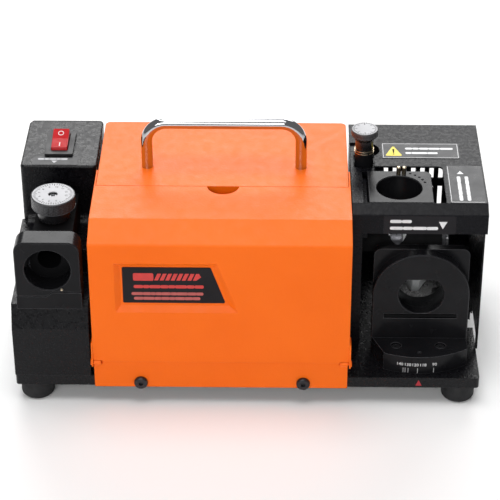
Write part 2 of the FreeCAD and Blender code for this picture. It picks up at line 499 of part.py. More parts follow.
# ---- motor and spindle ----------------------------------------------------------------
def drive_parts():
    at = lambda x: (x, AXIS_Y, AXIS_Z)
    m0, m1 = MOTOR_X
    can = tube(MOTOR_R, MOTOR_R - 2.5, at(m0), at(m1))
    bell_left = fuse([rod(MOTOR_R, at(m0 - 5), at(m0)), rod(16, at(m0 - 12), at(m0 - 4))])
    bell_left = cut(bell_left, [rod(BEARING_R, at(m0 - 9), at(m0 + 1)), rod(8, at(m0 - 13), at(m0))])
    bell_right = fuse([rod(MOTOR_R, at(m1), at(m1 + 5)), rod(16, at(m1 + 4), at(m1 + 12))])
    bell_right = cut(bell_right, [rod(BEARING_R, at(m1 - 1), at(m1 + 9)), rod(8, at(m1), at(m1 + 13))])
    saddle = block((-40, 18), (AXIS_Y - 26, AXIS_Y + 26), (PLATE_T + 0.1, AXIS_Z - 18))
    saddle = saddle.cut(rod(MOTOR_R + 0.05, at(-41), at(19)))
    caps = group([rod(6, (m0 + 9, AXIS_Y + s * (MOTOR_R - 3), AXIS_Z),
                      (m0 + 9, AXIS_Y + s * (MOTOR_R + 3.5), AXIS_Z)) for s in (-1, 1)])
    can = can.cut([rod(6, (m0 + 9, AXIS_Y + s * 25, AXIS_Z), (m0 + 9, AXIS_Y + s * 45, AXIS_Z))
                   for s in (-1, 1)])
    bearing_x = (m0 - 8.5, m1 + 1.5, PARTITION_X[0])
    bearings = group([tube(BEARING_R - 0.02, SHAFT_R + 0.03, at(x), at(x + BEARING_W)) for x in bearing_x])
    wheel_end = WHEEL_X0 + WHEEL_T
    shaft = rod(SHAFT_R, at(m0 - 11), at(wheel_end + 12))
    shaft = shaft.makeChamfer(0.8, [e for e in shaft.Edges if e.BoundBox.XLength < 0.01])
    core = tube(28, SHAFT_R, at(-44), at(24))
    slots = []
    for i in range(12):
        slot = block((-45, 25), (AXIS_Y - 1.2, AXIS_Y + 1.2), (AXIS_Z + 19, AXIS_Z + 29))
        slot.rotate(V(0, AXIS_Y, AXIS_Z), X_AXIS, 30 * i)
        slots.append(slot)
    armature = fuse([core.cut(slots), tube(12, SHAFT_R, at(-59), at(-46)), tube(10, SHAFT_R, at(-46), at(-44))])

    x0 = WHEEL_X0
    profile = [(x0, 10), (x0, 27), (x0 + 7, WHEEL_R), (x0 + 12, WHEEL_R), (wheel_end, 25), (wheel_end, 10)]
    corners = [V(x, AXIS_Y, AXIS_Z + r) for x, r in profile]
    wheel = Part.Face(Part.makePolygon(corners + corners[:1])).revolve(V(*at(0)), X_AXIS, 360)
    hub = fuse([tube(16, SHAFT_R, at(x0 - 8), at(x0)), tube(9.95, SHAFT_R, at(x0), at(wheel_end - 1))])
    nut_x = wheel_end + 3
    hexagon = [(AXIS_Y + 9.5 * math.cos(math.radians(60 * i)), AXIS_Z + 9.5 * math.sin(math.radians(60 * i)))
               for i in range(6)]
    nut = fuse([rod(16, at(wheel_end), at(nut_x)), prism(hexagon, "X", nut_x, nut_x + 7)])
    nut = nut.cut(rod(SHAFT_R, at(wheel_end - 1), at(nut_x + 8)))
    return {"motor_can": can, "motor_end_left": bell_left, "motor_end_right": bell_right,
            "motor_bracket": saddle, "brush_caps": caps, "bearings": bearings, "spindle_shaft": shaft,
            "armature": armature, "wheel_hub": hub, "grinding_wheel": wheel, "wheel_nut": nut}


# ---- grinding bay -----------------------------------------------------------------------
def bay_side(x, low):
    """An upright panel whose top follows the underside of the folded cover."""
    top = COVER_TOP - SHEET - GAP
    outline = [(BAY_FRONT, low), (BAY_FRONT, COVER_FOLD_Z - 0.9), (COVER_FOLD_Y + 0.5, top),
               (BAY_BACK, top), (BAY_BACK, low)]
    return prism(outline, "X", *x)


def bay_parts():
    partition = bay_side(PARTITION_X, PLATE_T + 0.05)
    pocket = block((POCKET_X, PARTITION_X[1] + 1), (SPLIT_Y[1] - 2, FINE_Y + 10), (SPLIT_LOW - 3, COVER_TOP))
    partition = cut(partition, [rod(BEARING_R, (70, AXIS_Y, AXIS_Z), (79, AXIS_Y, AXIS_Z)), pocket])
    flange_z = (PLATE_T + 0.05, PLATE_T + SHEET)
    outlet = block((WALL_X[0] - 1, WALL_X[1] + 1), DUST_OUTLET_Y, (PLATE_T, DUST_OUTLET_TOP))
    side = fuse([bay_side(WALL_X, PLATE_T + 0.6).cut(outlet),
                 block((153, WALL_X[1]), (118, BAY_BACK - SHEET - 0.05), flange_z)])
    rear = block((PARTITION_X[1], WALL_X[0]), (BAY_BACK - SHEET, BAY_BACK),
                 (PLATE_T + 0.05, COVER_TOP - SHEET - GAP))
    vents = []
    for i in range(VENT_COUNT):
        x = VENT_X - VENT_PITCH * i
        for z in VENT_ROWS:
            vents.append(block((x - VENT_W / 2, x + VENT_W / 2), (BAY_BACK - 3, BAY_BACK + 1), z))
    return {"bay_partition": partition, "bay_right_wall": side, "bay_rear_panel": rear.cut(vents),
            "top_cover": top_cover(), "wheel_guard": wheel_guard()}


def wheel_guard():
    """Curved strip before the wheel's upper front, notched where a drill comes down to be split."""
    start, end = PARTITION_X[1], GUARD_END
    curve = tube(GUARD_R + SHEET, GUARD_R, (start, AXIS_Y, AXIS_Z), (end, AXIS_Y, AXIS_Z))
    reach = 2 * GUARD_R
    rays = [(AXIS_Y - reach * math.cos(math.radians(a)), AXIS_Z + reach * math.sin(math.radians(a)))
            for a in GUARD_ANGLES]
    strip = curve.common(prism([(AXIS_Y, AXIS_Z)] + rays, "X", start, end))
    return strip.cut(rod(GUARD_NOTCH_R, (SPLIT_BORE_X, SPLIT_BORE_Y, AXIS_Z), (SPLIT_BORE_X, SPLIT_BORE_Y, SPLIT_LOW)))


def top_cover():
    """Folded sheet cover with a window for the splitting block and a keyhole for its dial."""
    t = SHEET
    skin = prism([(COVER_FRONT, COVER_LOW), (COVER_FRONT, COVER_FOLD_Z), (COVER_FOLD_Y, COVER_TOP),
                  (COVER_BACK, COVER_TOP), (COVER_BACK, COVER_TOP - t), (COVER_FOLD_Y + 0.3 * t, COVER_TOP - t),
                  (COVER_FRONT + t, COVER_FOLD_Z - 0.55 * t), (COVER_FRONT + t, COVER_LOW)], "X", *COVER_X)
    flange = prism([(COVER_FRONT, COVER_LOW), (COVER_FRONT, COVER_FOLD_Z), (COVER_FOLD_Y, COVER_TOP),
                    (COVER_BACK, COVER_TOP), (COVER_BACK, COVER_LOW)], "X", COVER_X[1] - 1.0, COVER_X[1])
    cover = fuse([skin, flange])
    cover = round_along(cover, X_AXIS, 1.2,
                        lambda p: min((p - V(p.x, COVER_FRONT, COVER_FOLD_Z)).Length,
                                      (p - V(p.x, COVER_FOLD_Y, COVER_TOP)).Length) < 0.1)
    through = (COVER_TOP - 5, COVER_TOP + 1)
    window = block(WINDOW_X, WINDOW_Y, through)
    window = round_along(window, Z_AXIS, 3.0, lambda p: p.x > WINDOW_X[1] - 1 and p.y > WINDOW_Y[1] - 1)
    channel = block((73.0, 87.3), (WINDOW_Y[1] - 2, KEYHOLE_Y - KEYHOLE_R + 1.5), through)
    keyhole = fuse([block((COVER_X[0] - 1, KEYHOLE_X), (KEYHOLE_Y - KEYHOLE_R, KEYHOLE_Y + KEYHOLE_R), through),
                    rod(KEYHOLE_R, (KEYHOLE_X, KEYHOLE_Y, through[0]), (KEYHOLE_X, KEYHOLE_Y, through[1]))])
    return cut(cover, [window, channel, keyhole])


def splitting_parts():
    """Top station: a bored block that a fine dial raises and lowers on a screw."""
    body = block(SPLIT_X, SPLIT_Y, (SPLIT_LOW, COVER_TOP))
    body = round_along(body, Z_AXIS, 5.0, lambda p: p.x > 120 and p.y > 80)
    top_rim = [e for e in body.Edges if e.BoundBox.ZMin > COVER_TOP - 0.01]
    body = body.makeChamfer(0.5, top_rim)
    arm = block((73.6, 95), (SPLIT_Y[1] - 1, 107), (SPLIT_LOW, SPLIT_LOW + 6.5))
    bore = lambda z: (SPLIT_BORE_X, SPLIT_BORE_Y, z)
    fine = lambda z: (FINE_X, FINE_Y, z)
    pin_at = [(103.4, 79.7), (107.2, 79.7)]
    body = cut(fuse([body, arm]), [
        rod(CHUCK_R, bore(SPLIT_LOW - 1), bore(COVER_TOP + 1)),
        cone(CHUCK_R, CHUCK_R + BORE_CHAMFER, bore(COVER_TOP - BORE_CHAMFER), bore(COVER_TOP)),
        rod(FINE_SCREW_R + 0.06, fine(SPLIT_LOW - 1), fine(SPLIT_LOW + 8)),
    ] + [rod(1.5, (x, y, COVER_TOP - 7), (x, y, COVER_TOP + 1)) for x, y in pin_at])
    pins = []
    for x, y in pin_at:
        pin = rod(1.5, (x, y, COVER_TOP - 7), (x, y, COVER_TOP + 5.8))
        top = [e for e in pin.Edges if e.BoundBox.ZMin > COVER_TOP + 5]
        pins.append(pin.makeFillet(0.9, top))
    guide = round_along(block((PARTITION_X[1], SPLIT_X[0] - GAP), (44, 80), (94, 120)), Y_AXIS, 1.0)
    bracket = block((POCKET_X, 94), (FINE_Y - 9.5, FINE_Y + 9.5), (117.2, 120.6))
    bracket = bracket.cut(rod(FINE_STEM_R, fine(110), fine(125)))
    bush = tube(6.6, FINE_SCREW_R + 0.06, fine(120.6), fine(131.5))
    bush = fuse([bush, tube(FINE_STEM_R, FINE_SCREW_R + 0.06, fine(117.2), fine(121))])
    ring = tube(6.8, FINE_SCREW_R + 0.06, fine(131.5), fine(134))
    low_rim, cone_h = FINE_TOP - 4.8, 3.0
    rim = rod(FINE_R, fine(low_rim), fine(FINE_TOP))
    rim = rim.makeChamfer(0.4, [e for e in rim.Edges if e.BoundBox.ZMin > FINE_TOP - 0.01])
    knob = fuse([rod(FINE_STEM_R, fine(134 + GAP), fine(low_rim - cone_h + 0.01)),
                 cone(FINE_STEM_R, FINE_R, fine(low_rim - cone_h), fine(low_rim)), rim,
                 rod(FINE_SCREW_R, fine(SPLIT_LOW - 2), fine(136))])
    knob = knob.cut(rod(FINE_R - 0.7, fine(FINE_TOP - 0.5), fine(FINE_TOP + 1)))
    face = rod(FINE_R - 0.75, fine(FINE_TOP - 0.5), fine(FINE_TOP + 0.05))
    return {"splitting_block": body, "splitting_pins": group(pins), "splitting_guide": guide,
            "dial_bracket": bracket, "fine_dial_bush": bush, "fine_dial_ring": ring,
            "fine_dial": knob, "fine_dial_face": face}


def swivel_parts():
    """Front station: an arched head on a sector that turns about a pivot under the wheel."""
    z0, z1 = PLATE_T + GAP, SECTOR_TOP
    disc = rod(SECTOR_R, (PIVOT_X, PIVOT_Y, z0), (PIVOT_X, PIVOT_Y, z1))
    outline = [(94, -10), (94, 11), (86.6, 28.7), (86.6, 42), (152, 42), (152, -10)]
    sector = disc.common(prism(outline, "Z", z0, z1))
    arm = fuse([prism([(96, 41), (108, PIVOT_Y), (128, PIVOT_Y), (142, 41)], "Z", z0, z0 + 6),
                rod(10.5, (PIVOT_X, PIVOT_Y, z0), (PIVOT_X, PIVOT_Y, z0 + 6))])
    screw_at = [(102.9, 19.0), (133.6, 19.0)]
    tools = [rod(PIVOT_R + 0.05, (PIVOT_X, PIVOT_Y, 0), (PIVOT_X, PIVOT_Y, 30)),
             rod(1.2, (PIVOT_X + 0.4, 10.8, z1 - 0.8), (PIVOT_X + 0.4, 10.8, z1 + 1))]
    for x, y in screw_at:
        tools += [rod(3.6, (x, y, z1 - 3), (x, y, z1 + 1)), rod(2.1, (x, y, z0 + 3), (x, y, z1))]
    base = cut(fuse([sector, arm]), tools)
    screws = group([button_screw(3.4, 2.4, 2.05, (x, y, z1 - 3), (x, y, z0 + 4), 1.3) for x, y in screw_at])
    pivot = fuse([rod(PIVOT_R, (PIVOT_X, PIVOT_Y, 0), (PIVOT_X, PIVOT_Y, z0 + 7)),
                  rod(8, (PIVOT_X, PIVOT_Y, z0 + 6 + GAP), (PIVOT_X, PIVOT_Y, z0 + 9))])

    foot = SECTOR_TOP + 0.02
    y0, y1 = ARCH_Y
    arch = fuse([rod(ARCH_R, (ARCH_X, y0, ARCH_Z), (ARCH_X, y1, ARCH_Z)),
                 block((ARCH_X - ARCH_R, ARCH_X + ARCH_R), ARCH_Y, (foot, ARCH_Z))])
    rims = [e for e in arch.Edges if e.BoundBox.YMax < y0 + 0.01 and e.BoundBox.ZMax > foot + 1]
    arch = arch.makeChamfer(0.5, rims)
    bore_at = lambda y: (ARCH_X, y, HEAD_BORE_Z)
    chord = block((ARCH_X - 20, ARCH_X + 20), (y0 - 2, y1 + 2),
                  (HEAD_BORE_Z + HEAD_CHORD, HEAD_BORE_Z + 20))
    hole = rod(CHUCK_R, bore_at(y0 - 1), bore_at(y1 + 1)).cut(chord)
    mouth = cone(CHUCK_R + BORE_CHAMFER, CHUCK_R, bore_at(y0), bore_at(y0 + BORE_CHAMFER)).cut(chord)
    groove = block((94, 144.5), (y0 - 1, y0 + 3), (38.7, 42.4))
    key = block((94.1, 144.4), (y0 + 0.2, y0 + 3), (39.5, 41.6))
    arch = cut(arch, [hole, mouth, groove])

    back = block((86.4, 151.9), BACK_Y, (foot, BACK_TOP))
    back = round_along(back, Y_AXIS, 5.0, lambda p: p.z > BACK_TOP - 1)
    sleeve = rod(SLEEVE_R, bore_at(BACK_Y[0]), bore_at(SLEEVE_BACK))
    back = fuse([back, sleeve]).cut(rod(CHUCK_R + 0.5, bore_at(BACK_Y[0] - 1), bore_at(SLEEVE_BACK + 1)))
    return {"swivel_base": base, "swivel_screws": screws, "swivel_pivot": pivot,
            "head_arch_plate": arch, "head_back_plate": back, "head_key": key}


def save(name, shape):
    """Moves a node to the row's origin and writes it."""
    shape = shape.copy()
    shape.translate(-ORIGIN)
    shape.exportStep(os.path.join("parts", name + ".step"))
    state = "ok" if shape.isValid() else "INVALID"
    print(f"{name:20s} {len(shape.Solids):3d} solids {shape.Volume:12.1f} mm3 {state}")


def main():
    os.makedirs("parts", exist_ok=True)
    nodes = {}
    for build in (base_parts, casting_parts, switch_parts, gauge_parts, housing_parts,
                  drive_parts, bay_parts, splitting_parts, swivel_parts):
        nodes.update(build())
    for name, shape in nodes.items():
        save(name, shape)
    print(len(nodes), "nodes; origin in the working datum:", ORIGIN)


main()
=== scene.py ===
import json
import math

import bmesh
import bpy
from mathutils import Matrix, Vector


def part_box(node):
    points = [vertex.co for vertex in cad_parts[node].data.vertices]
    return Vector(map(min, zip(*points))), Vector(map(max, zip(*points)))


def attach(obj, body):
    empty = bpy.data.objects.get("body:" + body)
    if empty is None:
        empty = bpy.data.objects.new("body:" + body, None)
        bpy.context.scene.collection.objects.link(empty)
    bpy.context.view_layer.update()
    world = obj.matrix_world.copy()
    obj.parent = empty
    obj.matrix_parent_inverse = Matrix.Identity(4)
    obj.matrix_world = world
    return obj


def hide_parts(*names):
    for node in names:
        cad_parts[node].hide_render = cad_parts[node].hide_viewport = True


MM = 0.001
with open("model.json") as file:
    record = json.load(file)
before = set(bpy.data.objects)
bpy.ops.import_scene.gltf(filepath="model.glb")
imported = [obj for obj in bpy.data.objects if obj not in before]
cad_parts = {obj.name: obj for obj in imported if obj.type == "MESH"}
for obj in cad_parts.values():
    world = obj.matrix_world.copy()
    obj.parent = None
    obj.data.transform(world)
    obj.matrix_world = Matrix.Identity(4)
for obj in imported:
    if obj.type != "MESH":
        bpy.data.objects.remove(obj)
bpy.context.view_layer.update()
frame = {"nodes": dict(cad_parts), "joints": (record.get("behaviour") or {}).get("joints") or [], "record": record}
JOINTS = {j["name"]: j for j in frame["joints"]}
PAINTED = {p["node"]: p["material_slot"] for p in frame["record"]["subparts"]}


# ---- places ---------------------------------------------------------------------------
def low(node, dx=0.0, dy=0.0, dz=0.0):
    """A point offset in millimetres from a node's lowest corner."""
    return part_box(node)[0] + Vector((dx, dy, dz)) * MM


def high(node, dx=0.0, dy=0.0, dz=0.0):
    """A point offset in millimetres from a node's highest corner."""
    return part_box(node)[1] + Vector((dx, dy, dz)) * MM


def middle(node):
    lowest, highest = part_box(node)
    return (lowest + highest) / 2


# ---- materials --------------------------------------------------------------------------
class Shade:
    """A principled material with bump, roughness and colour detail laid on in object space."""

    def __init__(self, name, color, roughness, metallic=0.0, round_edges=0.0, **sockets):
        self.material = bpy.data.materials.new(name)
        self.material.use_nodes = True
        self.material.diffuse_color = (*color, 1.0)
        self.tree = self.material.node_tree
        self.nodes = self.tree.nodes
        self.surface = self.nodes["Principled BSDF"]
        self.surface.inputs["Base Color"].default_value = (*color, 1.0)
        self.surface.inputs["Roughness"].default_value = roughness
        self.surface.inputs["Metallic"].default_value = metallic
        for socket, value in sockets.items():
            self.surface.inputs[socket.replace("_", " ")].default_value = value
        self.color = color
        self.coords = self.nodes.new("ShaderNodeTexCoord").outputs["Object"]
        self.normal = None
        if round_edges:
            edge = self.nodes.new("ShaderNodeBevel")
            edge.samples = 4
            edge.inputs["Radius"].default_value = round_edges * MM
            self.normal = edge.outputs["Normal"]
            self.link(self.normal, self.surface.inputs["Normal"])

    def link(self, output, socket):
        self.tree.links.new(output, socket)

    def noise(self, size, detail=3.0, stretch=None):
        """Noise whose features are about size millimetres across."""
        coords = self.coords
        if stretch:
            scale = self.nodes.new("ShaderNodeMapping")
            scale.inputs["Scale"].default_value = stretch
            self.link(coords, scale.inputs["Vector"])
            coords = scale.outputs["Vector"]
        node = self.nodes.new("ShaderNodeTexNoise")
        node.inputs["Scale"].default_value = 1.0 / (size * MM)
        node.inputs["Detail"].default_value = detail
        node.inputs["Roughness"].default_value = 0.55
        self.link(coords, node.inputs["Vector"])
        return node.outputs["Fac"]

    def cells(self, size, smooth=0.6):
        """Rounded cells about size millimetres across."""
        node = self.nodes.new("ShaderNodeTexVoronoi")
        node.feature = "SMOOTH_F1"
        node.inputs["Scale"].default_value = 1.0 / (size * MM)
        node.inputs["Smoothness"].default_value = smooth
        self.link(self.coords, node.inputs["Vector"])
        return node.outputs["Distance"]

    def remap(self, value, from_low, from_high, to_low, to_high):
        node = self.nodes.new("ShaderNodeMapRange")
        for socket, number in (("From Min", from_low), ("From Max", from_high),
                               ("To Min", to_low), ("To Max", to_high)):
            node.inputs[socket].default_value = number
        self.link(value, node.inputs["Value"])
        return node.outputs["Result"]

    def rough(self, value, to_low, to_high):
        self.link(self.remap(value, 0.3, 0.7, to_low, to_high), self.surface.inputs["Roughness"])
        return self

    def tint(self, value, other, from_low=0.3, from_high=0.7):
        """Blends the base colour towards another where value is high."""
        ramp = self.nodes.new("ShaderNodeValToRGB")
        ramp.color_ramp.elements[0].position = from_low
        ramp.color_ramp.elements[1].position = from_high
        ramp.color_ramp.elements[0].color = (*self.color, 1.0)
        ramp.color_ramp.elements[1].color = (*other, 1.0)
        self.link(value, ramp.inputs["Fac"])
        self.link(ramp.outputs["Color"], self.surface.inputs["Base Color"])
        return self

    def worn_edges(self, width, color, amount):
        """Painted edge highlight: lightens the colour where the surface turns a sharp corner, width millimetres
        wide.
        """
        turned = self.nodes.new("ShaderNodeBevel")
        turned.samples = 6
        turned.inputs["Radius"].default_value = width * MM
        true = self.nodes.new("ShaderNodeNewGeometry").outputs["True Normal"]
        match = self.nodes.new("ShaderNodeVectorMath")
        match.operation = "DOT_PRODUCT"
        self.link(turned.outputs["Normal"], match.inputs[0])
        self.link(true, match.inputs[1])
        highlight_mask = self.remap(match.outputs["Value"], 0.99, 0.86, 0.0, amount)
        mix = self.nodes.new("ShaderNodeMix")
        mix.data_type = "RGBA"
        self.link(highlight_mask, mix.inputs["Factor"])
        held = self.surface.inputs["Base Color"]
        self.link(held.links[0].from_socket, mix.inputs["A"])
        mix.inputs["B"].default_value = (*color, 1.0)
        self.link(mix.outputs["Result"], held)
        return self

    def bump(self, value, depth):
        node = self.nodes.new("ShaderNodeBump")
        node.inputs["Distance"].default_value = depth * MM
        self.link(value, node.inputs["Height"])
        if self.normal:
            self.link(self.normal, node.inputs["Normal"])
        self.normal = node.outputs["Normal"]
        self.link(self.normal, self.surface.inputs["Normal"])
        return self


def wrinkle(name, color, cell, depth, shine, painted_glint):
    """Wrinkle-coat paint: bumped pebbles whose tops carry a painted glint (a lighter colour), with the dark base
    colour in the valleys.
    """
    shade = Shade(name, color, 0.3, round_edges=0.7, Specular_IOR_Level=shine)
    pebbles = shade.cells(cell)
    shade.bump(pebbles, depth).bump(shade.noise(cell * 0.45, 2.0), depth * 0.35)
    shade.rough(shade.noise(cell * 3), 0.2, 0.4)
    # the pebble tops are tinted towards a lighter colour: a painted glint
    painted_glint_mask = shade.remap(pebbles, 0.08, 0.5, 1.0, 0.0)
    return shade.tint(painted_glint_mask, tuple(c * 3.0 + painted_glint for c in color), 0.45, 0.95).material


def satin(name, color, roughness, metallic=0.0, edges=0.35, edge_highlight=0.0, **sockets):
    """A fine satin finish: faint cloudiness and a very fine tooth, and optionally sharp edges lightened as a
    painted highlight.
    """
    shade = Shade(name, color, roughness, metallic, round_edges=edges, **sockets)
    shade.bump(shade.noise(0.25, 2.0), 0.012)
    shade.rough(shade.noise(9.0, 4.0), roughness * 0.85, roughness * 1.2)
    shade.tint(shade.noise(22.0, 3.0), tuple(c * 1.25 + 0.003 for c in color))
    return shade.worn_edges(0.5, (0.30, 0.30, 0.32), edge_highlight).material if edge_highlight else shade.material


def brushed(name, color, roughness, stretch, depth=0.02):
    """Turned or ground metal: long fine lines one way."""
    shade = Shade(name, color, roughness, 1.0, round_edges=0.25)
    lines = shade.noise(0.5, 2.0, stretch=stretch)
    shade.bump(lines, depth).rough(shade.noise(3.0, 3.0), roughness * 0.8, roughness * 1.3)
    return shade.tint(lines, tuple(c * 0.8 for c in color)).material


def powder_coat():
    """Glossy orange powder coat with a faint orange peel."""
    shade = Shade("orange_powder_coat", (0.90, 0.142, 0.0035), 0.36, round_edges=0.7,
                  Specular_IOR_Level=0.18)
    shade.bump(shade.noise(1.6, 2.0), 0.14).bump(shade.noise(0.6, 2.0), 0.04)
    shade.rough(shade.noise(7.0, 3.0), 0.32, 0.44)
    return shade.tint(shade.noise(60.0, 2.0), (0.93, 0.155, 0.005)).material


def chrome():
    shade = Shade("chrome_plate", (0.5, 0.505, 0.52), 0.07, 1.0)
    shade.bump(shade.noise(6.0, 3.0), 0.006)
    return shade.rough(shade.noise(2.0, 4.0), 0.04, 0.10).material


def rubber():
    shade = Shade("black_rubber", (0.010, 0.010, 0.011), 0.7, round_edges=0.4, Specular_IOR_Level=0.3)
    shade.bump(shade.noise(0.6, 3.0), 0.03).rough(shade.noise(5.0), 0.6, 0.82)
    return shade.tint(shade.noise(8.0), (0.018, 0.018, 0.019)).material


def gloss_red():
    shade = Shade("red_gloss_plastic", (0.45, 0.008, 0.012), 0.16, round_edges=0.5, Coat_Weight=0.4)
    shade.bump(shade.noise(4.0, 2.0), 0.01).rough(shade.noise(3.0, 3.0), 0.12, 0.22)
    return shade.tint(shade.noise(9.0), (0.52, 0.012, 0.016)).material


def abrasive():
    """Bonded grit on the wheel's faces."""
    shade = Shade("abrasive_grit", (0.50, 0.52, 0.53), 0.8, round_edges=0.3)
    grit = shade.cells(0.45, 0.2)
    shade.bump(grit, 0.12).bump(shade.noise(0.2, 2.0), 0.05)
    shade.rough(shade.noise(0.6), 0.6, 0.95)
    return shade.tint(grit, (0.72, 0.74, 0.75), 0.1, 0.6).material


def printed(name, color, roughness=0.42):
    """Ink or a printed film: nearly flat, with a slight mottle."""
    shade = Shade(name, color, roughness)
    shade.bump(shade.noise(0.8, 2.0), 0.004)
    shade.rough(shade.noise(4.0), roughness * 0.85, roughness * 1.2)
    return shade.tint(shade.noise(5.0), tuple(c * 0.88 for c in color)).material


INK_WHITE = printed("ink_white", (0.78, 0.78, 0.79))
INK_GREY = printed("ink_grey", (0.42, 0.42, 0.44))
INK_RED = printed("ink_red", (0.62, 0.035, 0.03))
INK_YELLOW = printed("ink_yellow", (0.78, 0.62, 0.02))
INK_BLACK = satin("ink_black", (0.004, 0.004, 0.005), 0.6, edges=0.0, Specular_IOR_Level=0.05)
# a darker, duller black for parts seen only in shadow: painted shade
PAINTED_SHADE_BLACK = satin("matte_black_painted_shade", (0.0025, 0.0025, 0.003), 0.6, Specular_IOR_Level=0.08)
INK_DARK_RED = printed("ink_dark_red", (0.42, 0.010, 0.022))
FILM_BLACK = satin("label_film_black", (0.004, 0.003, 0.005), 0.34, edges=0.0, Specular_IOR_Level=0.2)
FILM_DARK = satin("label_film_dark", (0.006, 0.006, 0.008), 0.3, edges=0.0, Specular_IOR_Level=0.2)
# the lightening of the knurl's sharp crests is a painted highlight
KNURLED = satin("black_anodised_knurled", (0.008, 0.008, 0.009), 0.25, edges=0.0, edge_highlight=0.3,
                Specular_IOR_Level=0.5)
# the last argument of each wrinkle is the painted glint added to its pebble tops
PLATE = wrinkle("wrinkle_plate", (0.004, 0.004, 0.005), 1.0, 0.2, 0.2, 0.012)
MATERIALS = {
    # these wrinkle finishes also carry a painted glint on their pebble tops
    "black_casting": wrinkle("wrinkle_casting", (0.002, 0.002, 0.003), 1.1, 0.14, 0.2, 0.014),
    "black_sheet": wrinkle("wrinkle_sheet", (0.004, 0.004, 0.0055), 0.9, 0.06, 0.10, 0.006),
    # black_anodised lightens its sharp edges: painted edge highlights
    "black_anodised": satin("black_anodised", (0.005, 0.005, 0.006), 0.24, edge_highlight=0.3, Specular_IOR_Level=0.13),
    "orange_sheet": powder_coat(),
    "rubber": rubber(),
    "chrome": chrome(),
    "steel": brushed("ground_steel", (0.56, 0.56, 0.58), 0.3, (0.08, 1.0, 1.0)),
    "black_steel": satin("black_oxide", (0.025, 0.025, 0.028), 0.3, 0.6, 0.25),
    "brass": brushed("satin_brass", (0.62, 0.52, 0.38), 0.3, (1.0, 1.0, 0.1)),
    "white_face": satin("white_enamel", (0.47, 0.47, 0.485), 0.5, edges=0.15, Specular_IOR_Level=0.2),
    "red_plastic": gloss_red(),
    "black_plastic": satin("black_nylon", (0.012, 0.012, 0.013), 0.45, Specular_IOR_Level=0.35),
    "board": satin("board_green", (0.02, 0.10, 0.035), 0.5),
    "motor_paint": satin("motor_paint", (0.10, 0.10, 0.11), 0.4),
    "iron": brushed("laminated_iron", (0.25, 0.24, 0.23), 0.45, (1.0, 0.05, 0.05)),
    # the hub's aluminium is darkened well below its own tone: painted shade for the dark space above the arch
    "wheel_hub": brushed("turned_aluminium_painted_shade", (0.25, 0.25, 0.27), 0.3, (1.0, 0.2, 0.2)),
    "abrasive": abrasive(),
}
# dial_body, setting_stop, head_key and wheel_guard take the painted-shade black; the base plate has its own
# wrinkle
SPECIAL = {"base_plate": PLATE, "dial_body": PAINTED_SHADE_BLACK, "setting_stop": PAINTED_SHADE_BLACK, "head_key": PAINTED_SHADE_BLACK,
           "wheel_guard": PAINTED_SHADE_BLACK}


def paint_frame():
    """Gives every CAD node the finish of its record slot, with a few finer or darker variants: the darker, duller
    black is painted shade on parts seen only in shadow.
    """
    for node, obj in frame["nodes"].items():
        material = SPECIAL.get(node, MATERIALS[PAINTED[node]])
        if not obj.material_slots:
            obj.data.materials.append(material)
        for held in obj.material_slots:
            held.material = material


# ---- new pieces ---------------------------------------------------------------------------
def add_piece(name, mesh, material, body, smooth=None):
    """Links a mesh that is already in place, paints it and seats it on a CAD body."""
    mesh.materials.clear()
    mesh.materials.append(material)
    piece = bpy.data.objects.new(name, mesh)
    bpy.context.scene.collection.objects.link(piece)
    if smooth is not None:
        mesh.shade_smooth()
        mesh.set_sharp_from_angle(angle=math.radians(smooth))
    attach(piece, body)
    return piece


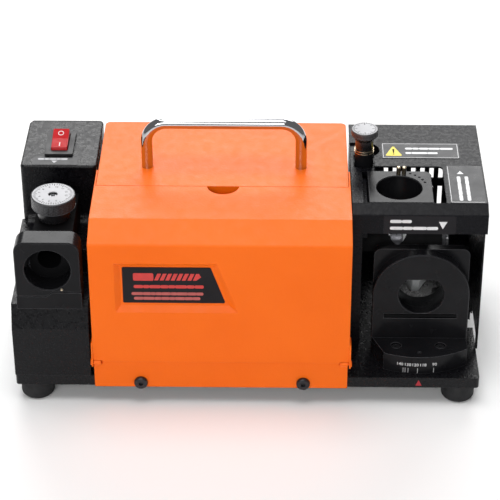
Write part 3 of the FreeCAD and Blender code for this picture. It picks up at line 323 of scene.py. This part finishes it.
class Artwork:
    """Flat shapes on a plane: origin in metres, u and v its directions, sizes in millimetres."""

    def __init__(self, origin, u, v):
        self.origin, self.u, self.v = Vector(origin), Vector(u), Vector(v)
        self.normal = self.u.cross(self.v)
        self.bm = bmesh.new()

    def place(self, x, y, lift=0.0):
        return self.origin + (self.u * x + self.v * y + self.normal * lift) * MM

    def outline(self, points, lift=0.0, height=0.05):
        """A filled outline, raised from lift by height."""
        bottom = [self.bm.verts.new(self.place(x, y, lift)) for x, y in points]
        top = [self.bm.verts.new(self.place(x, y, lift + height)) for x, y in points]
        self.bm.faces.new(top)
        self.bm.faces.new(bottom[::-1])
        for i in range(len(points)):
            j = (i + 1) % len(points)
            self.bm.faces.new((bottom[i], bottom[j], top[j], top[i]))
        return self

    def bar(self, x0, y0, x1, y1, radius=0.0, **more):
        """A rectangle with round corners."""
        if not radius:
            return self.outline([(x0, y0), (x1, y0), (x1, y1), (x0, y1)], **more)
        return self.outline(rounded([(x0, y0), (x1, y0), (x1, y1), (x0, y1)], radius), **more)

    def ring(self, x0, y0, x1, y1, width, **more):
        """A thin rectangular border."""
        for a in ((x0, y0, x1, y0 + width), (x0, y1 - width, x1, y1),
                  (x0, y0 + width, x0 + width, y1 - width), (x1 - width, y0 + width, x1, y1 - width)):
            self.bar(*a, **more)
        return self

    def dashes(self, x, y, lengths, height, gap=0.9, **more):
        """A row of bars that stands for a printed line without lettering."""
        for length in lengths:
            self.bar(x, y, x + length, y + height, radius=min(height, length) * 0.3, **more)
            x += length + gap
        return self

    def circle(self, x, y, radius, count=24, **more):
        points = [(x + radius * math.cos(2 * math.pi * i / count),
                   y + radius * math.sin(2 * math.pi * i / count)) for i in range(count)]
        return self.outline(points, **more)

    def digits(self, text, x, y, size, lift=0.0, height=0.05, turn=0.0):
        """Numbers from the built-in font, centred on x, y."""
        curve = bpy.data.curves.new("digits", "FONT")
        curve.body = text
        curve.size = size
        curve.align_x, curve.align_y = "CENTER", "CENTER"
        curve.resolution_u = 3
        curve.offset = size * 0.012
        holder = bpy.data.objects.new("digits", curve)
        flat = bpy.data.meshes.new_from_object(holder)
        cos, sin = math.cos(turn), math.sin(turn)
        count = len(self.bm.verts)
        self.bm.from_mesh(flat)
        self.bm.verts.ensure_lookup_table()
        fresh = self.bm.verts[count:]
        for vert in fresh:
            a, b = vert.co.x, vert.co.y
            vert.co = self.place(x + a * cos - b * sin, y + a * sin + b * cos, lift)
        faces = list({f for v in fresh for f in v.link_faces})
        raised = bmesh.ops.extrude_face_region(self.bm, geom=faces)
        tops = [g for g in raised["geom"] if isinstance(g, bmesh.types.BMVert)]
        bmesh.ops.translate(self.bm, verts=tops, vec=self.normal * height * MM)
        bpy.data.objects.remove(holder)
        bpy.data.curves.remove(curve)
        bpy.data.meshes.remove(flat)
        return self

    def piece(self, name, material, body, slot):
        bmesh.ops.recalc_face_normals(self.bm, faces=self.bm.faces)
        mesh = bpy.data.meshes.new(name)
        self.bm.to_mesh(mesh)
        self.bm.free()
        return add_piece(name, mesh, material, body)


def rounded(corners, radius, steps=5):
    """The outline of a polygon with each corner turned into an arc."""
    points, count = [], len(corners)
    for i, corner in enumerate(corners):
        here = Vector(corner)
        before = (Vector(corners[i - 1]) - here).normalized()
        after = (Vector(corners[(i + 1) % count]) - here).normalized()
        half = before.angle(after) / 2
        reach = radius / math.tan(half)
        centre = here + (before + after).normalized() * (radius / math.sin(half))
        start, end = here + before * reach - centre, here + after * reach - centre
        for k in range(steps + 1):
            spoke = start.slerp(end, k / steps)
            points.append(tuple(centre + spoke))
    return points


def lathe(name, profile, centre, material, body, segments=96, knurl=None, smooth=35, ring=False):
    """Turns a profile of (radius, height) about a vertical axis; a third value marks a knurled row.

    knurl is (teeth around, pitch up, depth), all lengths in millimetres. A ring's profile closes on
    itself and leaves its bore open; any other profile is capped at both ends."""
    bm = bmesh.new()
    rows = []
    for point in profile:
        radius, z = point[:2]
        cut = knurl if len(point) > 2 and point[2] else None
        row = []
        for i in range(segments):
            angle = 2 * math.pi * i / segments
            r = radius
            if cut:
                teeth, pitch, depth = cut
                a = teeth * i / segments + z / pitch
                b = teeth * i / segments - z / pitch
                r -= depth * (1 - min(abs(a % 1 - 0.5), abs(b % 1 - 0.5)) * 2)
            row.append(bm.verts.new(Vector((r * math.cos(angle), r * math.sin(angle), z)) * MM + centre))
        rows.append(row)
    for lower, upper in zip(rows, rows[1:] + rows[:1] if ring else rows[1:]):
        for i in range(segments):
            j = (i + 1) % segments
            bm.faces.new((lower[i], lower[j], upper[j], upper[i]))
    if not ring:
        bm.faces.new(rows[0][::-1])
        bm.faces.new(rows[-1])
    bmesh.ops.recalc_face_normals(bm, faces=bm.faces)
    mesh = bpy.data.meshes.new(name)
    bm.to_mesh(mesh)
    bm.free()
    return add_piece(name, mesh, material, body, smooth)


def knurled_rows(radius, z0, z1, count):
    """Profile rows for a knurled band, with a plain lip above and below."""
    lip = 0.35
    rows = [(radius - 0.5, z0), (radius - 0.08, z0 + lip)]
    rows += [(radius, z0 + lip + (z1 - z0 - 2 * lip) * i / count, True) for i in range(count + 1)]
    return rows + [(radius - 0.08, z1 - lip), (radius - 0.5, z1)]


def setting_dial():
    """Knurled drum on a plain hub, over the CAD dial of the setting gauge."""
    base = middle("setting_dial")
    lowest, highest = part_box("setting_dial")
    base.z = lowest.z
    hub_low, top = 1.35, (highest.z - lowest.z) / MM
    rim_low, radius, hub = top - 9.0, 15.15, 11.2
    profile = [(4.0, 0.0), (4.0, hub_low), (hub - 0.5, hub_low), (hub, hub_low + 0.5), (hub, rim_low - 0.2),
               (hub + 0.3, rim_low), (radius - 1.0, rim_low)]
    profile += knurled_rows(radius, rim_low, top, 26)
    profile += [(radius - 0.9, top), (radius - 0.95, top - 0.6), (3.2, top - 0.6), (3.2, top - 4.0)]
    dial = lathe("setting_dial_knurled", profile, base, KNURLED, "setting_dial",
                 288, (52, 1.85, 0.42), 40)
    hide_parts("setting_dial")


def fine_dial():
    """Small knurled knob on a tapered neck and stem, over the CAD fine dial."""
    base = middle("fine_dial")
    lowest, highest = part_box("fine_dial")
    base.z = lowest.z
    top = (highest.z - lowest.z) / MM
    radius, stem, screw = 9.4, 6.3, 3.0
    rim_low = top - 4.8
    profile = [(screw, 0.0), (screw, top - 15.0), (stem - 0.4, top - 15.0), (stem, top - 14.6),
               (stem, rim_low - 3.6), (stem + 0.5, rim_low - 3.0), (radius - 0.9, rim_low - 0.2)]
    profile += knurled_rows(radius, rim_low, top, 14)
    profile += [(radius - 0.65, top), (radius - 0.7, top - 0.5), (0.6, top - 0.5)]
    knob = lathe("fine_dial_knurled", profile, base, KNURLED, "fine_dial",
                 240, (44, 1.35, 0.3), 40)
    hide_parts("fine_dial")


def fine_dial_ring():
    """Two bright lands with a groove between them, over the CAD ring under the fine dial; a dark band in the
    groove is painted shade.
    """
    base = middle("fine_dial_ring")
    base.z = low("fine_dial_ring").z
    outer, floor, bore, height, land = 6.8, 6.2, 3.06, 2.5, 0.6
    profile = [(bore, 0.0), (outer - 0.1, 0.0), (outer, 0.1), (outer, land), (floor, land + 0.05),
               (floor, height - land - 0.05), (outer, height - land), (outer, height - 0.1),
               (outer - 0.1, height), (bore, height)]
    ring = lathe("fine_dial_ring_grooved", profile, base, MATERIALS["brass"], "base",
                 ring=True)
    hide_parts("fine_dial_ring")
    # a dark band laid on the groove floor: painted shade in the groove
    overlay = floor + 0.12
    band = [(floor, land + 0.1), (overlay, land + 0.15),
            (overlay, height - land - 0.15), (floor, height - land - 0.1)]
    lathe("fine_dial_ring_groove", band, base, MATERIALS["black_steel"], "base", ring=True)


def carry_handle():
    """Round bent bar with full-length smooth arcs, over the CAD handle."""
    lowest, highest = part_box("carry_handle")
    radius, bend, steps = 4.0 * MM, 14.0 * MM, 14
    y = (lowest.y + highest.y) / 2
    left, right, top = lowest.x + radius, highest.x - radius, highest.z - radius
    points = [Vector((left, y, lowest.z))]
    for centre_x, start in ((left + bend, math.pi), (right - bend, math.pi / 2)):
        for i in range(steps + 1):
            angle = start - math.pi / 2 * i / steps
            points.append(Vector((centre_x + bend * math.cos(angle), y, top - bend + bend * math.sin(angle))))
    points.append(Vector((right, y, lowest.z)))
    curve = bpy.data.curves.new("carry_handle_bar", "CURVE")
    curve.dimensions = "3D"
    curve.bevel_depth = radius
    curve.bevel_resolution = 10
    curve.use_fill_caps = True
    spline = curve.splines.new("POLY")
    spline.points.add(len(points) - 1)
    for knot, point in zip(spline.points, points):
        knot.co = (*point, 1.0)
    holder = bpy.data.objects.new("carry_handle_path", curve)
    mesh = bpy.data.meshes.new_from_object(holder)
    bpy.data.objects.remove(holder)
    bar = add_piece("carry_handle_bar", mesh, MATERIALS["chrome"], "base", 40)
    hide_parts("carry_handle")


def dial_faces():
    """Graduations and numbers on both dials; the large one's numbers are drill sizes."""
    half_width, ink_height = 0.22, 0.02
    for node, radius, count, long_every, numbers, size in (
            ("setting_dial_face", 13.6, 48, 4, [str(n) for n in range(3, 14)], 2.3),
            ("fine_dial_face", 8.2, 40, 5, ["0", "1", "2", "3", "4", "5", "6", "7"], 1.7)):
        top = high(node)
        centre = middle(node)
        centre.z = top.z
        art = Artwork(centre, (1, 0, 0), (0, 1, 0))
        for i in range(count):
            angle = 2 * math.pi * i / count
            length = radius * (0.2 if i % long_every == 0 else 0.13)
            out, side = (math.cos(angle), math.sin(angle)), (-math.sin(angle), math.cos(angle))
            corners = [(out[0] * r + side[0] * s, out[1] * r + side[1] * s)
                       for r, s in ((radius - length, -half_width), (radius, -half_width),
                                    (radius, half_width), (radius - length, half_width))]
            art.outline(corners, height=ink_height)
        for i, text in enumerate(numbers):
            angle = math.radians(-70) - 2 * math.pi * i / 12 if len(numbers) > 8 else -2 * math.pi * i / 8
            reach = radius * 0.69
            art.digits(text, reach * math.cos(angle), reach * math.sin(angle), size, height=ink_height,
                       turn=angle - math.pi / 2)
        body = "setting_dial" if node.startswith("setting") else "fine_dial"
        art.piece(node.replace("_face", "_graduations"), INK_BLACK, body, "white_face")


def switch_marks():
    """A bar on the front half of the rocker and a ring on the raised rear half."""
    pivot = Vector(JOINTS["switch_rock"]["pos_m"])
    crown, tilt, dish = 5.3, math.radians(11), math.radians(2.5)
    ridge = pivot + Vector((0, -crown * math.sin(tilt), crown * math.cos(tilt))) * MM
    front = Artwork(ridge, (1, 0, 0), (0, math.cos(tilt - dish), math.sin(tilt - dish)))
    front.bar(-0.35, -8.6, 0.35, -4.6, height=0.06)
    front.piece("rocker_on_mark", INK_WHITE, "rocker", "white_face")
    rear = Artwork(ridge, (1, 0, 0), (0, math.cos(tilt + dish), math.sin(tilt + dish)))
    count, centre, inner, outer = 28, 5.4, 1.55, 2.05
    for i in range(count):
        a, b = 2 * math.pi * i / count, 2 * math.pi * (i + 1) / count
        arc = [(r * math.cos(t), centre + r * 1.1 * math.sin(t))
               for r, t in ((inner, a), (outer, a), (outer, b), (inner, b))]
        rear.outline(arc, height=0.06)
    rear.piece("rocker_off_mark", INK_WHITE, "rocker", "white_face")


def setting_label():
    """Film label between the switch and the dial, with a pointer to the dial."""
    film_height = 0.25
    corner = low("left_casting", 9.5, 85.4, 0)
    corner.z = high("left_casting").z
    art = Artwork(corner, (1, 0, 0), (0, 1, 0))
    art.bar(0, 0, 31.0, 10.2, radius=0.8, height=film_height)
    art.piece("setting_label", FILM_DARK, "base", "black_sheet")
    overlay = Artwork(corner + Vector((0, 0, film_height)) * MM, (1, 0, 0), (0, 1, 0))
    overlay.dashes(4.0, 7.2, (3.4, 2.6, 4.2, 2.2, 3.6), 0.9, gap=0.8)
    overlay.outline([(15.0, 2.2), (17.2, 5.4), (12.8, 5.4)])
    overlay.piece("setting_label_print", INK_GREY, "base", "white_face")


def door_label():
    """Dark film in the door's recess with a plain drill pictogram and rows of bars."""
    corner = low("storage_door", 21.8, 4.95, 0)
    corner.z = low("storage_door", 0, 0, 50.6).z
    film_height = 0.35
    recess = [(0.2, 0.2), (72.0, 0.2), (61.4, 31.1), (0.2, 31.1)]
    film = Artwork(corner, (1, 0, 0), (0, 0, 1))
    film.outline(rounded(recess, 2.2), height=film_height)
    film.piece("door_label_film", FILM_BLACK, "door", "black_sheet")
    film_face = corner - Vector((0, film_height, 0)) * MM
    red = Artwork(film_face, (1, 0, 0), (0, 0, 1))
    start, shank, flutes, step = 9.0, 13.0, 7, 3.7
    bottom, top = 19.6, 25.0
    red.bar(start, bottom, start + shank, top, radius=0.7)
    fluted = start + shank + 0.7
    for i in range(flutes):
        x = fluted + step * i
        red.outline([(x, bottom), (x + 2.6, bottom), (x + 4.9, top), (x + 2.3, top)])
    tip = fluted + step * flutes
    red.outline([(tip, bottom), (tip + 2.3, bottom), (tip + 5.6, (bottom + top) / 2),
                 (tip + 4.2, top), (tip + 2.3, top)])
    red.dashes(9.5, 13.9, (5.2, 3.0, 6.4, 4.2, 3.4, 6.8, 4.0, 5.0), 1.3, gap=1.1)
    red.piece("door_label_red", INK_RED, "door", "red_plastic")
    pale = Artwork(film_face, (1, 0, 0), (0, 0, 1))
    pale.dashes(8.0, 8.4, (6.4, 4.4, 2.2, 3.0, 5.0, 3.2, 6.2, 4.8, 3.6), 0.9, gap=1.0)
    pale.dashes(9.5, 4.6, (5.0, 6.6, 3.6, 4.4, 2.8, 5.6, 4.4, 3.8), 0.9, gap=1.0)
    pale.piece("door_label_pale", printed("ink_pale_red", (0.50, 0.10, 0.09)), "door", "red_plastic")


def cover_prints():
    """Labels on the sliding cover: a bordered caution plate, a side label and a fascia label."""
    lowest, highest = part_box("top_cover")
    top = Vector((lowest.x, lowest.y, highest.z))
    caution = top + Vector((22.6, 67.9, 0)) * MM
    film_height, sign_height = 0.3, 0.06
    film = Artwork(caution, (1, 0, 0), (0, 1, 0))
    film.bar(0, 0, 54.0, 20.7, radius=0.8, height=film_height)
    film.piece("caution_label_film", FILM_DARK, "cover", "black_sheet")
    film_top = caution + Vector((0, 0, film_height)) * MM
    overlay = Artwork(film_top, (1, 0, 0), (0, 1, 0))
    overlay.ring(0.6, 0.6, 53.4, 20.1, 0.35)
    overlay.dashes(17.0, 12.6, (4.0, 3.2, 5.4, 6.6, 8.0), 1.3, gap=1.3)
    overlay.dashes(17.0, 6.4, (3.0, 9.8, 6.0), 1.3, gap=1.3)
    overlay.piece("caution_label_print", INK_WHITE, "cover", "white_face")
    sign = Artwork(film_top, (1, 0, 0), (0, 1, 0))
    sign.outline(rounded([(2.6, 3.4), (13.6, 3.4), (8.1, 16.4)], 0.6), height=sign_height)
    sign.piece("caution_triangle", INK_YELLOW, "cover", "brass")
    mark = Artwork(film_top + Vector((0, 0, sign_height)) * MM, (1, 0, 0), (0, 1, 0))
    mark.outline([(7.75, 6.9), (8.45, 6.9), (8.8, 12.3), (7.4, 12.3)]).circle(8.1, 5.4, 0.6)
    mark.piece("caution_mark", INK_BLACK, "cover", "black_plastic")

    side = Artwork(top + Vector((66.4, 8.6, 0)) * MM, (1, 0, 0), (0, 1, 0))
    side.bar(0, 0, 24.0, 49.0, radius=0.8, height=0.25)
    side.piece("station_label_film", FILM_DARK, "cover", "black_sheet")
    lines = Artwork(top + Vector((66.4, 8.6, 0.25)) * MM, (0, 1, 0), (-1, 0, 0))
    lines.bar(0.8, -0.9, 48.2, -0.55).bar(0.8, -23.2, 1.15, -0.9)
    lines.dashes(3.5, -8.0, (6.0, 5.2, 8.4, 7.4), 1.1, gap=1.2)
    lines.dashes(3.5, -13.4, (6.0, 5.2, 6.2, 5.0, 3.4), 1.1, gap=1.2)
    lines.outline([(38.0, -11.4), (38.0, -6.6), (42.0, -9.0)])
    lines.piece("station_label_print", INK_WHITE, "cover", "white_face")

    fascia = Artwork(lowest + Vector((21.5, 0, 0.5)) * MM, (1, 0, 0), (0, 0, 1))
    fascia.bar(0, 0, 48.0, 13.4, radius=0.6, height=0.22)
    fascia.piece("fascia_label_film", FILM_BLACK, "cover", "black_sheet")
    rows = Artwork(lowest + Vector((21.5, -0.22, 0.5)) * MM, (1, 0, 0), (0, 0, 1))
    rows.dashes(4.6, 9.0, (6.6, 5.4), 1.1, gap=1.2)
    rows.dashes(4.6, 3.6, (7.6, 5.4, 8.2, 6.4), 1.1, gap=1.2)
    rows.outline([(39.6, 3.6), (42.5, 9.4), (36.7, 9.4)])
    rows.piece("fascia_label_print", INK_WHITE, "cover", "white_face")


def swivel_scale():
    """Point angles and their ticks round the sector's rim; the pointer is on the base plate."""
    pivot = Vector(JOINTS["head_swivel"]["pos_m"])
    rim = 58.0
    foot = low("swivel_base").z
    numbers = ((-13.0, "140"), (-7.6, "130"), (-2.5, "120"), (2.8, "118"), (10.8, "90"))
    ticks = (-10.6, -9.2, -7.2, -0.8, 10.3)
    for degrees, text in numbers + tuple((tick, None) for tick in ticks):
        turn = math.radians(degrees)
        origin = pivot + Vector((math.sin(turn), -math.cos(turn), 0)) * rim * MM
        origin.z = foot
        art = Artwork(origin, (math.cos(turn), math.sin(turn), 0), (0, 0, 1))
        if text:
            art.digits(text, 0.0, 7.2, 3.3, lift=-0.01, height=0.05)
        else:
            art.bar(-0.14, 0.5, 0.14, 4.4, lift=-0.01, height=0.05)
        name = text or f"tick_{ticks.index(degrees)}"
        art.piece(f"scale_mark_{name}", INK_WHITE, "swivel", "white_face")
    plate = low("base_plate")
    pointer = Artwork(Vector((pivot.x, plate.y, plate.z)), (1, 0, 0), (0, 0, 1))
    pointer.outline([(-2.2, 1.6), (2.2, 1.6), (0, 6.4)], height=0.06)
    pointer.piece("scale_pointer", INK_DARK_RED, "base", "red_plastic")


def splitting_marks():
    """An arc of small dark index marks behind the right of the upright bore."""
    lowest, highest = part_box("splitting_block")
    left_pin = low("splitting_pins").x
    centre = Vector((left_pin, lowest.y, highest.z)) + Vector((1.3, 19.6, 0)) * MM
    art = Artwork(centre, (1, 0, 0), (0, 1, 0))
    for i in range(5):
        angle = math.radians(66 - 11 * i)
        reach = 20.5 - 0.3 * i
        art.circle(reach * math.cos(angle), reach * math.sin(angle), 1.0, 16, height=0.03)
    art.piece("splitting_index_marks", INK_BLACK, "splitting", "black_plastic")


# ---- stage --------------------------------------------------------------------------------
def add_stage():
    half = 4.0
    mesh = bpy.data.meshes.new("floor")
    corners = [(-half, -half, 0), (half, -half, 0), (half, half, 0), (-half, half, 0)]
    mesh.from_pydata(corners, [], [(0, 1, 2, 3)])
    floor = bpy.data.objects.new("floor", mesh)
    bpy.context.scene.collection.objects.link(floor)
    shade = Shade("pale_floor", (0.93, 0.93, 0.93), 0.7)
    shade.bump(shade.noise(3.0, 2.0), 0.01)
    mesh.materials.append(shade.material)


def add_light(name, at, aim, size, power):
    light = bpy.data.lights.new(name, "AREA")
    light.shape = "RECTANGLE"
    light.size, light.size_y = size
    light.energy = power
    holder = bpy.data.objects.new(name, light)
    bpy.context.scene.collection.objects.link(holder)
    holder.location = at
    holder.rotation_euler = (Vector(aim) - Vector(at)).to_track_quat("-Z", "Y").to_euler()


def add_lights():
    world = bpy.data.worlds.new("studio")
    bpy.context.scene.world = world
    world.use_nodes = True
    world.node_tree.nodes["Background"].inputs["Color"].default_value = (1, 1, 1, 1)
    world.node_tree.nodes["Background"].inputs["Strength"].default_value = 0.2
    add_light("overhead", (-0.2, -0.1, 2.2), (0, 0, 0), (1.8, 1.2), 33)
    add_light("behind", (0.05, 1.9, 1.35), (0, 0, 0.1), (2.2, 0.9), 38)
    add_light("front_fill", (-0.5, -2.2, 1.3), (0, 0, 0.05), (1.8, 0.9), 27)


def add_camera():
    """Looks down at the front from slightly right of the middle, as far off as a long lens needs."""
    pitch, yaw, roll = math.radians(32.94), math.radians(-1.06), math.radians(0.154)
    forward = Vector((math.sin(yaw) * math.cos(pitch), math.cos(yaw) * math.cos(pitch), -math.sin(pitch)))
    camera = bpy.data.cameras.new("camera")
    camera.sensor_width = 36.0
    camera.lens = 140.9
    camera.shift_y = -0.00038
    camera.clip_end = 50
    holder = bpy.data.objects.new("camera", camera)
    bpy.context.scene.collection.objects.link(holder)
    holder.location = (0.02115, -1.1588, 0.8290)
    holder.rotation_euler = forward.to_track_quat("-Z", "Y").to_euler()
    holder.rotation_euler.rotate_axis("Z", -roll)
    bpy.context.scene.camera = holder


def main():
    paint_frame()
    setting_dial()
    fine_dial()
    fine_dial_ring()
    carry_handle()
    dial_faces()
    switch_marks()
    setting_label()
    door_label()
    cover_prints()
    swivel_scale()
    splitting_marks()
    add_stage()
    add_lights()
    add_camera()
    bpy.context.scene.view_settings.view_transform = "Standard"
    bpy.context.view_layer.update()


main()
